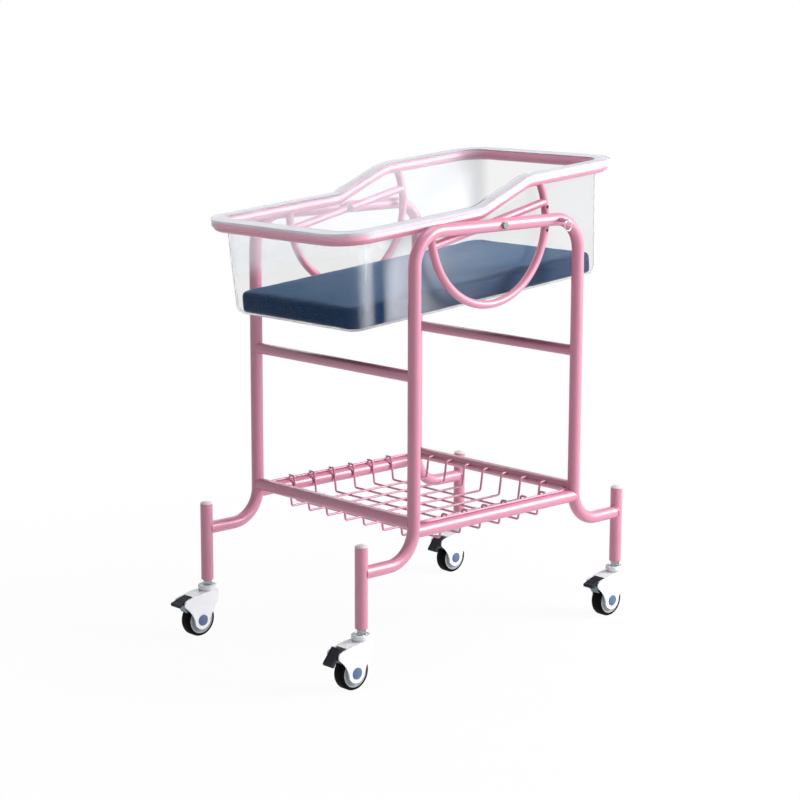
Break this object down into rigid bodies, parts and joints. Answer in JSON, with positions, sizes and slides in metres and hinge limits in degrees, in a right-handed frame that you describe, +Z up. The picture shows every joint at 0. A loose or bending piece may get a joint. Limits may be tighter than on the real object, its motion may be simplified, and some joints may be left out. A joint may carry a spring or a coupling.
{
  "type": "hospital bassinet",
  "caption": "Tubular steel bassinet trolley with a clear tilting basin and mattress, a wire basket below and braked swivel casters.",
  "frame": {"origin": "on the floor, under the middle of the whole object's bounding box", "axes": "+Z up, +X towards the raised head end, +Y away from the side with the lock pin"},
  "size_m": [0.8228, 0.5234, 0.9559],
  "materials": {
    "frame_paint": "glossy pink powder coat",
    "basket_paint": "glossy pink powder coat on wire",
    "cap_plastic": "smooth moulded plug, whitish grey",
    "steel": "zinc plated",
    "bright_steel": "bright plated",
    "clear_plastic": "clear polished moulding",
    "mattress_cover": "smooth coated cloth, navy",
    "caster_white": "moulded, satin gloss",
    "tyre_rubber": "satin solid rubber",
    "hub_plastic": "moulded grey",
    "axle_cap_plastic": "moulded blue grey",
    "pedal_plastic": "moulded dark grey",
    "lever_steel": "pressed steel"
  },
  "bodies": {
    "stand": {"side_frame_near": "frame_paint", "side_frame_far": "frame_paint", "caster_posts": "frame_paint", "post_caps": "cap_plastic", "post_inserts": "steel", "upper_cross_rail_foot": "frame_paint", "upper_cross_rail_head": "frame_paint", "lower_cross_rail_foot": "frame_paint", "lower_cross_rail_head": "frame_paint", "long_rail_near": "frame_paint", "long_rail_far": "frame_paint", "basket": "basket_paint", "pivot_bolts": "bright_steel", "pivot_nuts": "bright_steel", "pivot_spacers": "steel", "lock_sleeve": "frame_paint", "caster_stem_near_foot": "steel", "caster_stem_far_foot": "steel", "caster_stem_near_head": "steel", "caster_stem_far_head": "steel"},
    "cradle": {"rim_tube": "frame_paint", "tilt_bow_near": "frame_paint", "tilt_bow_far": "frame_paint", "pivot_bar_near": "frame_paint", "pivot_bar_far": "frame_paint"},
    "basin": {"basin": "clear_plastic"},
    "mattress": {"mattress": "mattress_cover"},
    "lock_pin": {"lock_pin": "bright_steel"},
    "pull_ring": {"pull_ring": "bright_steel"},
    "caster_near_foot": {"caster_fork_near_foot": "caster_white", "axle_near_foot": "steel", "axle_caps_near_foot": "axle_cap_plastic"},
    "wheel_near_foot": {"tyre_near_foot": "tyre_rubber", "wheel_hub_near_foot": "hub_plastic"},
    "pedal_near_foot": {"brake_pedal_near_foot": "pedal_plastic", "brake_lever_near_foot": "lever_steel"},
    "caster_far_foot": {"caster_fork_far_foot": "caster_white", "axle_far_foot": "steel", "axle_caps_far_foot": "axle_cap_plastic"},
    "wheel_far_foot": {"tyre_far_foot": "tyre_rubber", "wheel_hub_far_foot": "hub_plastic"},
    "pedal_far_foot": {"brake_pedal_far_foot": "pedal_plastic", "brake_lever_far_foot": "lever_steel"},
    "caster_near_head": {"caster_fork_near_head": "caster_white", "axle_near_head": "steel", "axle_caps_near_head": "axle_cap_plastic"},
    "wheel_near_head": {"tyre_near_head": "tyre_rubber", "wheel_hub_near_head": "hub_plastic"},
    "pedal_near_head": {"brake_pedal_near_head": "pedal_plastic", "brake_lever_near_head": "lever_steel"},
    "caster_far_head": {"caster_fork_far_head": "caster_white", "axle_far_head": "steel", "axle_caps_far_head": "axle_cap_plastic"},
    "wheel_far_head": {"tyre_far_head": "tyre_rubber", "wheel_hub_far_head": "hub_plastic"},
    "pedal_far_head": {"brake_pedal_far_head": "pedal_plastic", "brake_lever_far_head": "lever_steel"}
  },
  "joints": [
    {"name": "cradle_tilt", "type": "hinge", "parent": "stand", "child": "cradle", "pos_m": [0.0329, 0.0086, 0.844], "axis": [0, -1, 0], "range_deg": [-8.5, 8.5]},
    {"name": "basin_lift", "type": "slide", "parent": "cradle", "child": "basin", "axis": [-0.0837, 0, 0.9965], "range_m": [0, 0.2]},
    {"name": "mattress_lift", "type": "slide", "parent": "basin", "child": "mattress", "axis": [-0.0837, 0, 0.9965], "range_m": [0, 0.2]},
    {"name": "lock_slide", "type": "slide", "parent": "stand", "child": "lock_pin", "axis": [0, 1, 0], "range_m": [0, 0.0075]},
    {"name": "ring_swing", "type": "hinge", "parent": "lock_pin", "child": "pull_ring", "pos_m": [0.1899, -0.2587, 0.844], "axis": [1, 0, 0], "range_deg": [-85, 4]},
    {"name": "swivel_near_foot", "type": "hinge", "parent": "stand", "child": "caster_near_foot", "pos_m": [-0.3261, -0.2244, 0.0944], "axis": [0, 0, 1], "continuous": true},
    {"name": "roll_near_foot", "type": "hinge", "parent": "caster_near_foot", "child": "wheel_near_foot", "pos_m": [-0.3521, -0.2244, 0.0345], "axis": [0, 1, 0], "continuous": true},
    {"name": "brake_near_foot", "type": "hinge", "parent": "caster_near_foot", "child": "pedal_near_foot", "pos_m": [-0.3856, -0.2244, 0.0644], "axis": [0, -1, 0], "range_deg": [-34, 0]},
    {"name": "swivel_far_foot", "type": "hinge", "parent": "stand", "child": "caster_far_foot", "pos_m": [-0.3261, 0.2416, 0.0944], "axis": [0, 0, 1], "continuous": true},
    {"name": "roll_far_foot", "type": "hinge", "parent": "caster_far_foot", "child": "wheel_far_foot", "pos_m": [-0.3521, 0.2416, 0.0345], "axis": [0, 1, 0], "continuous": true},
    {"name": "brake_far_foot", "type": "hinge", "parent": "caster_far_foot", "child": "pedal_far_foot", "pos_m": [-0.3856, 0.2416, 0.0644], "axis": [0, -1, 0], "range_deg": [0, 34]},
    {"name": "swivel_near_head", "type": "hinge", "parent": "stand", "child": "caster_near_head", "pos_m": [0.3919, -0.2244, 0.0944], "axis": [0, 0, 1], "continuous": true},
    {"name": "roll_near_head", "type": "hinge", "parent": "caster_near_head", "child": "wheel_near_head", "pos_m": [0.3659, -0.2244, 0.0345], "axis": [0, 1, 0], "continuous": true},
    {"name": "brake_near_head", "type": "hinge", "parent": "caster_near_head", "child": "pedal_near_head", "pos_m": [0.3324, -0.2244, 0.0644], "axis": [0, -1, 0], "range_deg": [0, 34]},
    {"name": "swivel_far_head", "type": "hinge", "parent": "stand", "child": "caster_far_head", "pos_m": [0.3919, 0.2416, 0.0944], "axis": [0, 0, 1], "continuous": true},
    {"name": "roll_far_head", "type": "hinge", "parent": "caster_far_head", "child": "wheel_far_head", "pos_m": [0.3659, 0.2416, 0.0345], "axis": [0, 1, 0], "continuous": true},
    {"name": "brake_far_head", "type": "hinge", "parent": "caster_far_head", "child": "pedal_far_head", "pos_m": [0.3324, 0.2416, 0.0644], "axis": [0, -1, 0], "range_deg": [-34, 0]}
  ]
}
